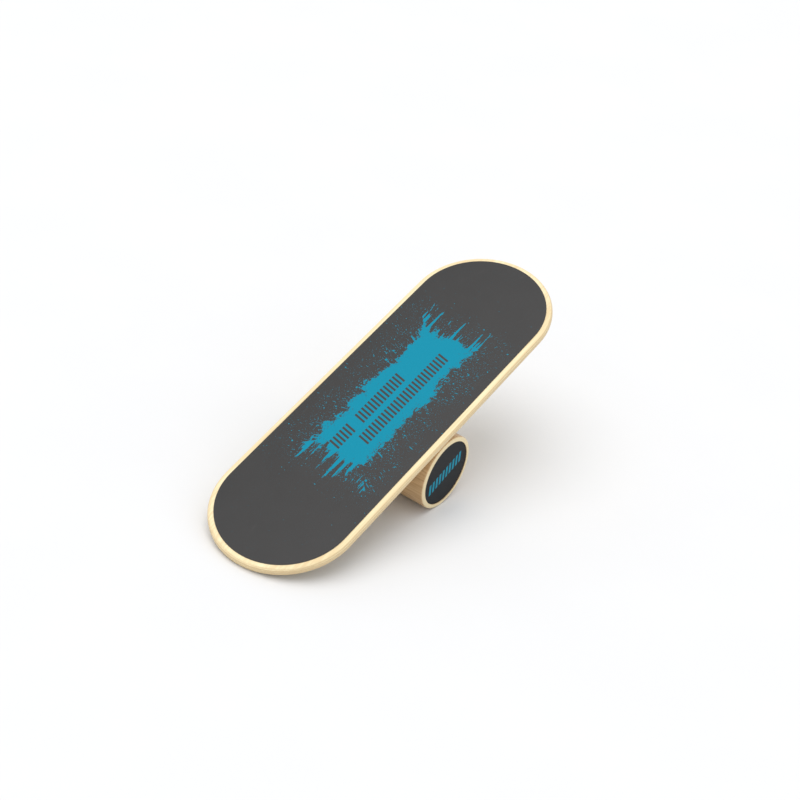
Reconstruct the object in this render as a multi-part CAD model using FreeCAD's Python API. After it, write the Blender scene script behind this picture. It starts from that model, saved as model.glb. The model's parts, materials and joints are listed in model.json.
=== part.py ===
import FreeCAD, Part
import math
import os

# Balance board: a flat stadium-shaped deck lying over a loose wooden roller.
# Millimetres. The frame's origin is on the floor under the middle of the object,
# +X runs towards the raised end, +Y across the deck, +Z up.

# Deck
deck_length = 740.0
deck_width = 242.0
deck_thickness = 15.0
deck_edge_round = 6.0

# Grip sheet glued on the deck
grip_margin = 10.0
grip_thickness = 0.8

# Roller: a hollow wooden cylinder
roller_radius = 63.0
roller_length = 242.0
roller_offset = -13.0  # place of the roller along the deck, from the deck's middle
tube_wall = 7.5
tube_edge_round = 3.0

# Roller ends and the rib inside it
plug_thickness = 12.0
print_thickness = 0.8
print_recess = 1.0
rib_thickness = 14.0

# Stop bars screwed to the underside
stop_from_end = 155.0  # from the deck's tip to the bar's inner face
stop_length = 160.0
stop_width = 20.0
stop_height = 12.0
stop_corner = 8.0  # radius of its corners, seen from below
stop_round = 3.0

# Countersunk wood screws of the stop bars
screws_per_stop = 3
screw_radius = 1.9
screw_head_radius = 3.9
screw_head_height = 2.6
screw_head_edge = 0.4
screw_sunk = 0.3
screw_length = 20.8
screw_point = 3.0
screw_blunt = 0.4  # radius of the point's tip
screw_margin = 18.0  # from the last screw to the bar's end
drive_length = 4.4
drive_width = 0.9
drive_depth = 1.4

# Clearances
glue_line = 0.05  # between pieces glued or screwed together
screw_fit = 0.1  # around a screw and under its point
roller_gap = 0.25  # between the roller and the deck's underside
rib_fit = 0.05  # radial, between the rib and the roller's bore
print_fit = 0.2  # radial, between a printed disc and the roller's bore
stop_gap = 0.3  # between the roller and a stop bar at the end of its travel

# Derived sizes
tube_bore = roller_radius - tube_wall
plug_radius = tube_bore - glue_line
rib_radius = tube_bore - rib_fit
print_radius = tube_bore - print_fit
stop_inner = deck_length / 2 - stop_from_end
stop_low = -stop_height - glue_line
screw_pitch = (stop_length - 2 * screw_margin) / (screws_per_stop - 1)
screw_head = stop_low + screw_sunk
screw_tip = screw_head + screw_length

# Attitude: the lower tip and the roller both stand on the floor.
# (half length + offset) sin - (radius + gap + round) cos = radius - round
lever = deck_length / 2 - deck_edge_round + roller_offset
drop = roller_radius + roller_gap + deck_edge_round
rise = roller_radius - deck_edge_round
tilt = math.asin(rise / math.hypot(lever, drop)) + math.atan2(drop, lever)

# Middle of the deck's underside in the frame
deck_x = deck_thickness * math.sin(tilt) / 2
deck_z = (
    (deck_length / 2 - deck_edge_round) * math.sin(tilt)
    - deck_edge_round * math.cos(tilt)
    + deck_edge_round
)

# Roller axis, in the deck's coordinates (along the deck, below its underside)
axis_down = roller_radius + roller_gap

# Travel of the roller along the deck, between the stop bars
reach = math.sqrt(roller_radius ** 2 - (axis_down - stop_height) ** 2) + stop_gap
travel_low = -(stop_inner - reach) - roller_offset
travel_high = (stop_inner - reach) - roller_offset


def vec(x, y, z):
    return FreeCAD.Vector(x, y, z)


def on_deck(shape):
    """Turns and moves a shape from the deck's coordinates into the frame."""
    turn = FreeCAD.Rotation(vec(0, 1, 0), -math.degrees(tilt))
    placed = shape.copy()
    placed.Placement = FreeCAD.Placement(vec(deck_x, 0, deck_z), turn)
    return placed


def stadium(length, width, thickness, z):
    """A slab with half-round ends, its lower face at z."""
    r = width / 2
    s = length / 2 - r
    edges = [
        Part.makeLine(vec(-s, -r, z), vec(s, -r, z)),
        Part.Arc(vec(s, -r, z), vec(s + r, 0, z), vec(s, r, z)).toShape(),
        Part.makeLine(vec(s, r, z), vec(-s, r, z)),
        Part.Arc(vec(-s, r, z), vec(-s - r, 0, z), vec(-s, -r, z)).toShape(),
    ]
    face = Part.Face(Part.Wire(edges))
    return face.extrude(vec(0, 0, thickness))


def flat_edges(shape, z):
    """The edges of a shape that lie in the plane at height z."""
    return [
        e
        for e in shape.Edges
        if abs(e.BoundBox.ZMin - z) < 1e-6 and abs(e.BoundBox.ZMax - z) < 1e-6
    ]


def screw_places(side):
    """Screw centres of one stop bar, in the deck's coordinates."""
    x = side * (stop_inner + stop_width / 2)
    first = screw_margin - stop_length / 2
    return [(x, first + i * screw_pitch) for i in range(screws_per_stop)]


def deck():
    body = stadium(deck_length, deck_width, deck_thickness, 0)
    rims = flat_edges(body, 0) + flat_edges(body, deck_thickness)
    body = body.makeFillet(deck_edge_round, rims)
    for side in (-1, 1):
        for x, y in screw_places(side):
            hole = Part.makeCylinder(screw_radius + screw_fit, screw_tip + screw_fit, vec(x, y, 0))
            body = body.cut(hole)
    return body


def grip_sheet():
    length = deck_length - 2 * grip_margin
    width = deck_width - 2 * grip_margin
    return stadium(length, width, grip_thickness, deck_thickness + glue_line)


def screw_profile(extra, x, y):
    """A screw's outline turned round its axis, made larger by extra for its hole."""
    edge = screw_head + screw_head_edge
    neck = screw_head + screw_head_height
    wide = screw_head_radius + extra
    slim = screw_radius + extra
    if extra:
        points = [(0, stop_low - 1), (wide, stop_low - 1), (wide, edge), (slim, neck)]
        points += [(slim, screw_tip + 1), (0, screw_tip + 1)]
    else:
        points = [(0, screw_head), (wide, screw_head), (wide, edge), (slim, neck)]
        points += [(slim, screw_tip - screw_point), (screw_blunt, screw_tip), (0, screw_tip)]
    corners = [vec(x + px, y, pz) for px, pz in points]
    face = Part.Face(Part.makePolygon(corners + corners[:1]))
    return face.revolve(vec(x, y, 0), vec(0, 0, 1), 360)


def stop(side):
    x0 = stop_inner if side > 0 else -stop_inner - stop_width
    corner = vec(x0, -stop_length / 2, stop_low)
    bar = Part.makeBox(stop_width, stop_length, stop_height, corner)
    upright = [e for e in bar.Edges if e.BoundBox.ZLength > stop_height / 2]
    bar = bar.makeFillet(stop_corner, upright)
    bar = bar.makeFillet(stop_round, flat_edges(bar, stop_low))
    for x, y in screw_places(side):
        bar = bar.cut(screw_profile(screw_fit, x, y))
    return bar


def screw(x, y):
    """A countersunk wood screw with a cross recess, head downwards."""
    body = screw_profile(0, x, y)
    for along, across in ((drive_length, drive_width), (drive_width, drive_length)):
        corner = vec(x - along / 2, y - across / 2, screw_head - 1)
        body = body.cut(Part.makeBox(along, across, drive_depth + 1, corner))
    return body


def on_roller(radius, length, start):
    """A cylinder on the roller's axis, from start towards +Y."""
    base = vec(roller_offset, start, -axis_down)
    return Part.makeCylinder(radius, length, base, vec(0, 1, 0))


def roller_tube():
    half = roller_length / 2
    body = on_roller(roller_radius, roller_length, -half)
    rims = [e for e in body.Edges if e.BoundBox.YLength < 1e-6]
    body = body.makeFillet(tube_edge_round, rims)
    return body.cut(on_roller(tube_bore, roller_length + 2, -half - 1))


def end_pieces(side):
    """The plug and the printed disc that close one end of the roller."""
    outer = roller_length / 2 - print_recess
    plug_outer = outer - print_thickness - glue_line
    disc_start = outer - print_thickness if side > 0 else -outer
    plug_start = plug_outer - plug_thickness if side > 0 else -plug_outer
    plug = on_roller(plug_radius, plug_thickness, plug_start)
    disc = on_roller(print_radius, print_thickness, disc_start)
    return plug, disc


def middle_rib():
    return on_roller(rib_radius, rib_thickness, -rib_thickness / 2)


def pieces():
    found = {
        "deck": deck(),
        "grip_sheet": grip_sheet(),
        "stop_bar_low": stop(-1),
        "stop_bar_high": stop(1),
        "roller_tube": roller_tube(),
        "roller_rib": middle_rib(),
    }
    for side, name in ((-1, "low"), (1, "high")):
        for i, (x, y) in enumerate(screw_places(side), 1):
            found[f"stop_screw_{name}_{i}"] = screw(x, y)
    for side, name in ((-1, "near"), (1, "far")):
        plug, disc = end_pieces(side)
        found[f"roller_plug_{name}"] = plug
        found[f"roller_print_{name}"] = disc
    return found


os.makedirs("parts", exist_ok=True)
for name, shape in pieces().items():
    on_deck(shape).exportStep(f"parts/{name}.step")

axis_x = deck_x + roller_offset * math.cos(tilt) + axis_down * math.sin(tilt)
axis_z = deck_z + roller_offset * math.sin(tilt) - axis_down * math.cos(tilt)
top = deck_thickness + glue_line + grip_thickness
print(f"tilt {math.degrees(tilt):.4f} deg")
print(f"along the deck {math.cos(tilt):.7f} 0 {math.sin(tilt):.7f}")
print(f"roller axis x {axis_x:.4f} z {axis_z:.4f}")
print(f"roller travel {travel_low:.3f} to {travel_high:.3f}")
print(f"grip middle {deck_x - top * math.sin(tilt):.4f} 0 {deck_z + top * math.cos(tilt):.4f}")
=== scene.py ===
"""Looks of the balance board: procedural materials on the CAD frame, floor, light and camera."""

import json
import math

import bpy
from mathutils import Matrix, Vector

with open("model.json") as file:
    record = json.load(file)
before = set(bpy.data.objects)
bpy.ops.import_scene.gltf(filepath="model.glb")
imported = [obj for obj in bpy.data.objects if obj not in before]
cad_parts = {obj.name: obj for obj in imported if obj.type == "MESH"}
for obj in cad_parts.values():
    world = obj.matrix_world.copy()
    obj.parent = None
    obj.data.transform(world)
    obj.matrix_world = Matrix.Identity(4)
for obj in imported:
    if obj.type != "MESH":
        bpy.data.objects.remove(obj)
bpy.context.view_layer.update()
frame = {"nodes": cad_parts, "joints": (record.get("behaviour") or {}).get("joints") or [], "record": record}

MM = 0.001
RECORD = frame["record"]
JOINTS = {joint["name"]: joint for joint in frame["joints"]}
FOOT_FACE = RECORD["mounts"][0]
GRIP_MIDDLE = Vector(FOOT_FACE["pos_m"])
DECK_UP = Vector(FOOT_FACE["axis"])
DECK_ALONG = Vector(JOINTS["roller_travel"]["axis"])
ACROSS = (0.0, 1.0, 0.0)
ROLLER_MIDDLE = Vector(JOINTS["roller_spin"]["pos_m"])

# Lengths in the materials are in millimetres.
GRIP_TOP_TO_DECK = 0.85  # the grip sheet and the glue under it
DECK_THICKNESS = 15.0
PLIES = 11

# Colours, linear.
BIRCH = (0.85, 0.73, 0.455)
BIRCH_DARK = (0.73, 0.56, 0.31)
BIRCH_END = (0.60, 0.42, 0.21)
GLUE = (0.34, 0.20, 0.10)
ROLLER_PALE = (0.72, 0.50, 0.27)
ROLLER_DARK = (0.47, 0.28, 0.13)
HARDWOOD = (0.60, 0.40, 0.21)
HARDWOOD_DARK = (0.40, 0.23, 0.10)
GRIP_GREY = (0.053, 0.052, 0.052)
PAINT = (0.002, 0.245, 0.365)
PAINT_THIN = (0.002, 0.13, 0.2)
PRINT_BLACK = (0.008, 0.010, 0.012)
PRINT_WORN = (0.017, 0.019, 0.022)
ZINC_DULL = (0.55, 0.54, 0.5)
ZINC_BRIGHT = (0.72, 0.71, 0.68)
FLOOR_TONES = ((0.741, 0.746, 0.758), (0.748, 0.753, 0.765))
SKY = (0.975, 0.995, 1.02, 1.0)
LAMP = (1.0, 0.96, 0.9)

# The band of thrown paint on the grip sheet.
BAND_MIDDLE = 18.0
BAND_HALF_LENGTH = 145.0
BAND_HALF_WIDTH = 47.0
SPIKES_AT_SIDE = 12.0
SPIKES_MORE_AT_END = 22.0
STROKES_AT_END = 44.0
STREAK_REACH = 80.0
STREAK_LEVEL = 1.02
HOLE_LEVEL = 0.585
# Its drops: how they lie, cell size, biggest radius as a share of the cell, reach.
DROPS = (
    ("flat", 2.6, 0.32, 80.0),
    ("flat", 5.5, 0.28, 65.0),
    ("flat", 13.0, 0.18, 60.0),
    ("flat", 24.0, 0.11, 130.0),
    ("thrown", 5.0, 0.15, 80.0),
    ("thrown", 9.0, 0.12, 80.0),
)

# Generic marks: rows of slanted bars, as lowest and highest place across, first and last along.
MARK_PITCH = 8.0
MARK_SHARE = 0.5
MARK_SLANT = 0.22
MARK_ROWS = (
    (4.0, 26.0, -120.0, -72.0),
    (4.0, 26.0, -56.0, 56.0),
    (-28.0, -6.0, -80.0, 136.0),
)
DISC_ROW = (-10.0, 10.0, -44.0, 44.0)
DISC_PITCH = 8.8
DISC_SHARE = 0.58
DISC_SLANT = 0.3
DISC_TURN = math.radians(-24.0)


class Look:
    """One procedural material, with short ways to add and join its nodes."""

    def __init__(self, name):
        self.material = bpy.data.materials.new(name)
        self.material.use_nodes = True
        self.tree = self.material.node_tree
        self.tree.nodes.clear()
        self.shader = self.node("ShaderNodeBsdfPrincipled")
        output = self.node("ShaderNodeOutputMaterial")
        self.tree.links.new(self.shader.outputs["BSDF"], output.inputs["Surface"])

    def node(self, kind, **settings):
        node = self.tree.nodes.new(kind)
        for key, value in settings.items():
            setattr(node, key, value)
        return node

    def put(self, socket, value):
        if isinstance(value, bpy.types.NodeSocket):
            self.tree.links.new(value, socket)
        else:
            socket.default_value = value

    def math(self, operation, *values):
        node = self.node("ShaderNodeMath", operation=operation)
        for socket, value in zip(node.inputs, values):
            self.put(socket, value)
        return node.outputs[0]

    def add(self, *values):
        total = values[0]
        for value in values[1:]:
            total = self.math("ADD", total, value)
        return total

    def take(self, value, *others):
        for other in others:
            value = self.math("SUBTRACT", value, other)
        return value

    def times(self, *values):
        product = values[0]
        for value in values[1:]:
            product = self.math("MULTIPLY", product, value)
        return product

    def over(self, value, divisor):
        return self.math("DIVIDE", value, divisor)

    def size(self, value):
        return self.math("ABSOLUTE", value)

    def most(self, first, second):
        return self.math("MAXIMUM", first, second)

    def above(self, value, limit):
        return self.math("GREATER_THAN", value, limit)

    def below(self, value, limit):
        return self.math("LESS_THAN", value, limit)

    def split(self, vector):
        node = self.node("ShaderNodeSeparateXYZ")
        self.put(node.inputs[0], vector)
        return tuple(node.outputs)

    def join(self, x, y, z=0.0):
        node = self.node("ShaderNodeCombineXYZ")
        for socket, value in zip(node.inputs, (x, y, z)):
            self.put(socket, value)
        return node.outputs[0]

    def ramp(self, value, low, high, to_low=0.0, to_high=1.0, smooth=True):
        """value mapped from low..high to to_low..to_high, held at both ends."""
        kind = "SMOOTHSTEP" if smooth else "LINEAR"
        node = self.node("ShaderNodeMapRange", interpolation_type=kind)
        keys = ("Value", "From Min", "From Max", "To Min", "To Max")
        for key, number in zip(keys, (value, low, high, to_low, to_high)):
            self.put(node.inputs[key], number)
        return node.outputs["Result"]

    def blend(self, share, first, second, kind="MIX"):
        """Colour that goes from first to second as share goes from 0 to 1."""
        node = self.node("ShaderNodeMix", data_type="RGBA", blend_type=kind)
        self.put(node.inputs["Factor"], share)
        for key, colour in (("A", first), ("B", second)):
            socket = [s for s in node.inputs if s.name == key and s.type == "RGBA"][0]
            self.put(socket, (*colour, 1.0) if isinstance(colour, tuple) else colour)
        return [s for s in node.outputs if s.type == "RGBA"][0]

    def noise(self, vector, scale=1.0, detail=2.0, roughness=0.5, warp=0.0, space="3D"):
        node = self.node("ShaderNodeTexNoise", noise_dimensions=space)
        keys = ("Vector", "Scale", "Detail", "Roughness", "Distortion")
        for key, value in zip(keys, (vector, scale, detail, roughness, warp)):
            self.put(node.inputs[key], value)
        return node.outputs["Fac"]

    def cells(self, vector, scale):
        """Distance to the nearest of scattered points, in cells, and a random number for it."""
        node = self.node("ShaderNodeTexVoronoi", voronoi_dimensions="2D")
        self.put(node.inputs["Vector"], vector)
        self.put(node.inputs["Scale"], scale)
        return node.outputs["Distance"], self.split(node.outputs["Color"])[0]

    def place(self, middle, turn=0.0):
        """Millimetres from a middle point, in axes turned about Y, on the piece at rest."""
        source = self.node("ShaderNodeTexCoord")
        node = self.node("ShaderNodeMapping", vector_type="TEXTURE")
        self.put(node.inputs["Vector"], source.outputs["Object"])
        node.inputs["Location"].default_value = middle
        node.inputs["Rotation"].default_value = (0.0, turn, 0.0)
        node.inputs["Scale"].default_value = (MM, MM, MM)
        return node.outputs["Vector"]

    def facing(self, direction):
        """How squarely the surface faces along a direction, either way, 0 to 1."""
        source = self.node("ShaderNodeTexCoord")
        node = self.node("ShaderNodeVectorMath", operation="DOT_PRODUCT")
        self.put(node.inputs[0], source.outputs["Normal"])
        self.put(node.inputs[1], tuple(direction))
        return self.size(node.outputs["Value"])

    def bump(self, height, distance, strength):
        node = self.node("ShaderNodeBump")
        for key, value in (("Height", height), ("Distance", distance), ("Strength", strength)):
            self.put(node.inputs[key], value)
        self.put(self.shader.inputs["Normal"], node.outputs["Normal"])

    def finish(self, **sockets):
        for key, value in sockets.items():
            self.put(self.shader.inputs[key.replace("_", " ")], value)
        return self.material


def deck_place(look):
    """Deck axes: X along the deck, Y across it, Z up from the grip sheet's top face."""
    tilt = math.atan2(DECK_ALONG.z, DECK_ALONG.x)
    return look.place(GRIP_MIDDLE, -tilt)


def grain(look, along, across, through, length=160.0, width=3.2):
    """Long fibres: fine streaks riding on a slow figure, 0 to 1."""
    slow_place = look.join(look.over(along, length * 1.6), look.over(across, width * 9.0), through)
    fine_place = look.join(*(
        look.over(value, size)
        for value, size in ((along, length), (across, width), (through, width))
    ))
    slow = look.noise(slow_place, warp=0.6)
    fine = look.noise(fine_place, detail=4.0, roughness=0.62)
    return look.add(look.times(slow, 0.45), look.times(fine, 0.55))


def deck_plywood():
    """Plies counted up from the underside, their grain turned in every second one."""
    look = Look("deck_plywood_look")
    x, y, z = look.split(deck_place(look))
    height = look.add(z, DECK_THICKNESS + GRIP_TOP_TO_DECK)
    wavy = look.noise(look.join(look.over(x, 60.0), look.over(y, 60.0)), detail=1.0)
    height = look.add(height, look.times(look.take(wavy, 0.5), 0.5))
    layer = look.over(height, DECK_THICKNESS / PLIES)
    inside = look.math("MINIMUM", look.most(layer, 0.0), PLIES - 0.01)
    odd = look.math("FLOORED_MODULO", look.math("FLOOR", inside), 2.0)
    even = look.take(1.0, odd)

    def by_ply(in_even, in_odd):
        return look.add(look.times(in_even, even), look.times(in_odd, odd))

    figure = by_ply(grain(look, x, y, z), grain(look, y, x, z))
    end = by_ply(look.facing(DECK_ALONG), look.facing(ACROSS))
    long_colour = look.blend(look.ramp(figure, 0.36, 0.66), BIRCH, BIRCH_DARK)
    specks = look.noise(look.join(x, y, z), scale=1.6, detail=3.0, roughness=0.7)
    end_colour = look.blend(look.ramp(specks, 0.3, 0.7), BIRCH_END, BIRCH_DARK)
    wood = look.blend(look.ramp(end, 0.25, 0.95), long_colour, end_colour)

    glue = look.ramp(look.size(look.take(look.math("FRACT", layer), 0.5)), 0.43, 0.49)
    at_edge = look.ramp(look.facing(DECK_UP), 0.9, 0.6)
    line = look.times(glue, at_edge)
    look.bump(look.take(figure, line), 0.00012, 0.5)
    return look.finish(
        Base_Color=look.blend(look.times(line, 0.75), wood, GLUE),
        Roughness=look.ramp(figure, 0.3, 0.7, 0.42, 0.6),
        Coat_Weight=0.15,
        Coat_Roughness=0.3,
    )


def paint_mask(look, place):
    """A band of thrown paint with a ragged edge, spikes, strokes, streaks and drops, 0 to 1."""
    x, y, _ = look.split(place)
    flat = look.join(x, y)

    # Distance outside the band's box, and whether that is past one of its short ends.
    past_end = look.take(look.size(look.take(x, BAND_MIDDLE)), BAND_HALF_LENGTH)
    past_side = look.take(look.size(y), BAND_HALF_WIDTH)
    at_end = look.above(past_end, past_side)
    away = look.most(past_end, past_side)
    out = look.most(away, 0.0)

    # Lanes in which paint flies: they fan out from the band, and differ on its four sides.
    side_fan = look.add(1.0, look.over(look.size(y), 260.0))
    side_lane = look.over(look.take(x, BAND_MIDDLE), side_fan)
    end_fan = look.add(1.0, look.over(look.most(past_end, 0.0), 220.0))
    end_lane = look.over(y, end_fan)
    lane = look.add(
        look.times(end_lane, at_end),
        look.times(side_lane, look.take(1.0, at_end)),
    )
    which_side = look.add(
        look.times(look.math("SIGN", y), 31.0),
        look.times(at_end, look.times(look.math("SIGN", x), 170.0)),
    )
    thrown = look.join(lane, look.add(look.times(out, 0.12), which_side))

    def flat_noise(vector, scale, **settings):
        return look.noise(vector, scale, space="2D", **settings)

    slow = look.take(flat_noise(flat, 0.03, detail=1.0), 0.5)
    middle = look.take(flat_noise(flat, 0.1), 0.5)
    small = look.take(flat_noise(flat, 0.5, detail=4.0, roughness=0.75), 0.5)
    drawn_out = look.join(look.times(x, 0.22), y)
    torn = look.take(flat_noise(drawn_out, 0.22, detail=3.0, roughness=0.7), 0.5)
    spikes = look.ramp(flat_noise(thrown, 0.2, detail=3.0, roughness=0.62), 0.52, 0.85)
    combed = look.join(y, look.times(x, 0.02))
    strokes = look.ramp(flat_noise(combed, 0.12, roughness=0.55), 0.5, 0.75)
    spike_length = look.add(SPIKES_AT_SIDE, look.times(at_end, SPIKES_MORE_AT_END))
    edge = look.add(
        away,
        look.times(slow, 26.0),
        look.times(middle, 20.0),
        look.times(small, 12.0),
        look.times(torn, 22.0),
    )
    edge = look.take(
        edge,
        look.times(spikes, spike_length),
        look.times(strokes, look.times(at_end, STROKES_AT_END)),
    )
    flecks = flat_noise(flat, 0.35, detail=4.0, roughness=0.7)
    holes = look.above(look.add(flecks, look.times(edge, 0.009)), HOLE_LEVEL)
    total = look.times(look.ramp(edge, 0.3, -0.3), look.take(1.0, holes))

    reach = look.add(out, look.times(slow, 70.0))
    near = look.ramp(reach, STREAK_REACH, 0.0, smooth=False)
    lanes = flat_noise(thrown, 0.55, detail=3.0, roughness=0.6)
    broken = flat_noise(flat, 0.12, detail=3.0)
    wanted = look.add(look.times(near, 0.16), look.times(broken, 0.3))
    streaks = look.times(look.above(look.add(lanes, wanted), STREAK_LEVEL), look.above(near, 0.05))
    total = look.most(total, streaks)

    for lie, size, biggest, reached in DROPS:
        distance, luck = look.cells(thrown if lie == "thrown" else flat, 1.0 / size)
        thinning = look.ramp(reach, reached, -10.0, smooth=False)
        radius = look.times(look.math("POWER", luck, 3.0), biggest, thinning)
        ragged = look.add(distance, look.times(small, 0.1))
        total = look.most(total, look.below(ragged, radius))
    return total


def slanted_bars(look, x, y, row, pitch, share, slant):
    """A row of equal slanted bars, 0 to 1."""
    low, high, first, last = row
    leaning = look.take(x, look.times(y, slant))
    bars = look.below(look.math("FLOORED_MODULO", leaning, pitch), pitch * share)
    return look.times(
        bars,
        look.above(y, low),
        look.below(y, high),
        look.above(leaning, first),
        look.below(leaning, last),
    )


def grip():
    """Dark grit sheet, faintly scuffed, with painted light making it paler towards -Y and darker towards +Y,
    and with the splash and the marks left free in it.
    """
    look = Look("grip_look")
    place = deck_place(look)
    x, y, _ = look.split(place)
    paint = paint_mask(look, place)
    for row in MARK_ROWS:
        bars = slanted_bars(look, x, y, row, MARK_PITCH, MARK_SHARE, MARK_SLANT)
        paint = look.times(paint, look.take(1.0, bars))
    grit = look.noise(place, scale=1.1, detail=4.0, roughness=0.7)
    coarse = look.noise(place, scale=0.45, detail=3.0, roughness=0.6)
    patches = look.noise(place, scale=0.014)
    scuffed = look.join(look.times(x, 0.3), y)
    scuffs = look.noise(scuffed, scale=0.1, detail=5.0, roughness=0.7, space="2D")
    grit_tone_and_painted_light = look.add(
        look.ramp(grit, 0.25, 0.75, 0.62, 1.32),
        look.times(look.take(patches, 0.5), 0.12),
        look.times(look.ramp(scuffs, 0.62, 0.85), 0.25),
    )
    # Painted light: the grey is painted paler towards -Y and darker towards +Y, standing in for how the
    # light falls across the sheet.
    grit_tone_and_painted_light = look.take(grit_tone_and_painted_light, look.times(y, 0.0006))
    grey = look.blend(1.0, GRIP_GREY, look.join(grit_tone_and_painted_light, grit_tone_and_painted_light, grit_tone_and_painted_light), kind="MULTIPLY")
    ink = look.blend(look.ramp(grit, 0.35, 0.8, 0.0, 0.35), PAINT, PAINT_THIN)
    height = look.add(grit, look.times(coarse, 0.6), look.times(paint, 0.12))
    look.bump(height, 0.0005, 0.6)
    return look.finish(
        Base_Color=look.blend(paint, grey, ink),
        Roughness=look.ramp(grit, 0.25, 0.75, 0.72, 0.95),
        Specular_IOR_Level=0.2,
    )


def turned_wood():
    """Grain along the roller, rings of growth over its side, pores on its end faces."""
    look = Look("roller_wood_look")
    place = look.place(ROLLER_MIDDLE)
    x, y, z = look.split(place)
    figure = grain(look, y, x, z, length=90.0, width=3.0)
    warp_place = look.join(look.over(x, 24.0), look.over(y, 150.0), look.over(z, 24.0))
    warp = look.noise(warp_place)
    through = look.add(x, look.times(z, 0.35))
    rings = look.add(look.times(through, 0.16), look.times(warp, 7.0))
    ring = look.size(look.take(look.math("FRACT", rings), 0.5))
    share = look.add(
        look.times(look.ramp(figure, 0.32, 0.68), 0.65),
        look.times(look.ramp(ring, 0.1, 0.5), 0.35),
    )
    side = look.blend(share, ROLLER_PALE, ROLLER_DARK)
    pores = look.noise(place, scale=1.2, detail=3.0, roughness=0.7)
    face = look.blend(look.ramp(pores, 0.3, 0.75), BIRCH, BIRCH_DARK)
    look.bump(figure, 0.0002, 0.5)
    return look.finish(
        Base_Color=look.blend(look.ramp(look.facing(ACROSS), 0.3, 0.8), side, face),
        Roughness=look.ramp(figure, 0.3, 0.7, 0.4, 0.6),
        Coat_Weight=0.1,
        Coat_Roughness=0.35,
    )


def straight_wood(look, place, pale, dark, length_axis):
    """Straight-grained wood with its grain along one of the place's axes."""
    across = list(look.split(place))
    along = across.pop(length_axis)
    figure = grain(look, along, *across, length=70.0, width=2.6)
    specks = look.noise(place, scale=1.4, detail=3.0, roughness=0.7)
    share = look.add(look.times(look.ramp(figure, 0.34, 0.66), 0.8), look.times(specks, 0.2))
    look.bump(figure, 0.0002, 0.5)
    return look.finish(
        Base_Color=look.blend(share, pale, dark),
        Roughness=look.ramp(figure, 0.3, 0.7, 0.45, 0.65),
    )


def stop_wood():
    look = Look("stop_wood_look")
    return straight_wood(look, deck_place(look), HARDWOOD, HARDWOOD_DARK, 1)


def plug_wood():
    look = Look("plug_wood_look")
    return straight_wood(look, look.place(ROLLER_MIDDLE), ROLLER_PALE, ROLLER_DARK, 0)


def screw_steel():
    """Zinc-plated steel with uneven plating."""
    look = Look("screw_steel_look")
    marks = look.noise(deck_place(look), scale=2.2, detail=4.0, roughness=0.65)
    look.bump(marks, 0.00005, 0.4)
    return look.finish(
        Base_Color=look.blend(look.ramp(marks, 0.3, 0.7), ZINC_DULL, ZINC_BRIGHT),
        Metallic=1.0,
        Roughness=look.ramp(marks, 0.3, 0.7, 0.25, 0.45),
    )


def end_print():
    """Near-black disc with a generic row of slanted bars across it."""
    look = Look("end_print_look")
    place = look.place(ROLLER_MIDDLE, DISC_TURN)
    x, _, z = look.split(place)
    bars = slanted_bars(look, x, z, DISC_ROW, DISC_PITCH, DISC_SHARE, DISC_SLANT)
    fibre = look.noise(place, scale=0.8, detail=4.0, roughness=0.7)
    black = look.blend(look.ramp(fibre, 0.3, 0.7), PRINT_BLACK, PRINT_WORN)
    look.bump(fibre, 0.0001, 0.3)
    return look.finish(
        Base_Color=look.blend(bars, black, PAINT),
        Roughness=look.ramp(fibre, 0.3, 0.7, 0.5, 0.68),
        Specular_IOR_Level=0.15,
    )


def dress():
    """Puts each look on the CAD nodes whose record slot it belongs to."""
    looks = {
        "deck_plywood": deck_plywood(),
        "grip": grip(),
        "stop_wood": stop_wood(),
        "screw_steel": screw_steel(),
        "roller_wood": turned_wood(),
        "plug_wood": plug_wood(),
        "end_print": end_print(),
    }
    for part in RECORD["subparts"]:
        mesh = frame["nodes"][part["node"]].data
        mesh.materials.clear()
        mesh.materials.append(looks[part["material_slot"]])


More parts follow.
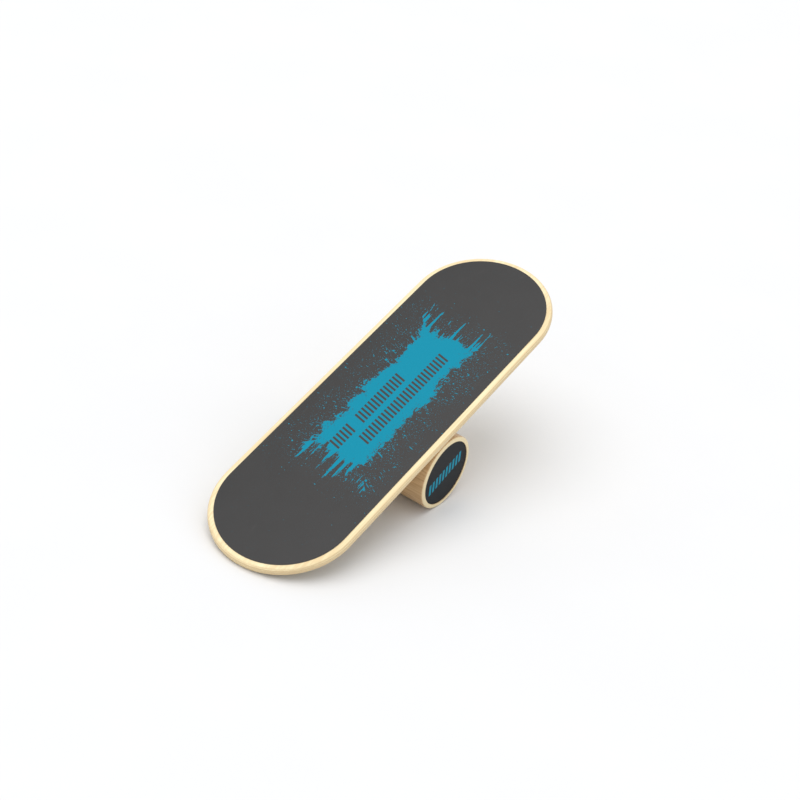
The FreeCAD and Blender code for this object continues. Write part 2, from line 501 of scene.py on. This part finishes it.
def floor(half=30.0):
    """Plain pale floor, a hair below the object."""
    look = Look("floor_look")
    tone = look.noise(look.place((0.0, 0.0, 0.0)), scale=0.004)
    material = look.finish(
        Base_Color=look.blend(look.ramp(tone, 0.3, 0.7), *FLOOR_TONES),
        Roughness=0.9,
        Specular_IOR_Level=0.1,
    )
    mesh = bpy.data.meshes.new("floor")
    corners = [(-half, -half, 0.0), (half, -half, 0.0), (half, half, 0.0), (-half, half, 0.0)]
    mesh.from_pydata(corners, [], [(0, 1, 2, 3)])
    mesh.materials.append(material)
    plane = bpy.data.objects.new("floor", mesh)
    plane.location.z = -0.2 * MM
    bpy.context.scene.collection.objects.link(plane)


def light():
    """White surround and one wide soft lamp overhead."""
    world = bpy.data.worlds.new("surround")
    world.use_nodes = True
    background = world.node_tree.nodes["Background"]
    background.inputs["Color"].default_value = SKY
    background.inputs["Strength"].default_value = 0.9
    bpy.context.scene.world = world

    lamp = bpy.data.lights.new("overhead", "SUN")
    lamp.angle = math.radians(60.0)
    lamp.energy = 1.48
    lamp.color = LAMP
    above = bpy.data.objects.new("overhead", lamp)
    above.rotation_euler = Vector((-0.1, 0.2, 1.0)).to_track_quat("Z", "Y").to_euler()
    bpy.context.scene.collection.objects.link(above)


def camera():
    """The photograph's viewpoint, aimed at a point above the floor, with the camera rolled."""
    azimuth, elevation, roll = (math.radians(angle) for angle in (-59.400, 31.753, 10.622))
    aim = Vector((0.1322, 0.0575, 0.06))
    distance = 2.9657
    level = math.cos(elevation)
    back = Vector((math.sin(azimuth) * level, -math.cos(azimuth) * level, math.sin(elevation)))
    lens = bpy.data.cameras.new("camera")
    lens.lens = 80.0
    lens.sensor_width = 36.0
    viewer = bpy.data.objects.new("camera", lens)
    turn = back.to_track_quat("Z", "Y").to_matrix() @ Matrix.Rotation(roll, 3, "Z")
    viewer.matrix_world = Matrix.Translation(aim + back * distance) @ turn.to_4x4()
    bpy.context.scene.collection.objects.link(viewer)
    bpy.context.scene.camera = viewer
    bpy.context.scene.view_settings.view_transform = "Standard"


dress()
floor()
light()
camera()
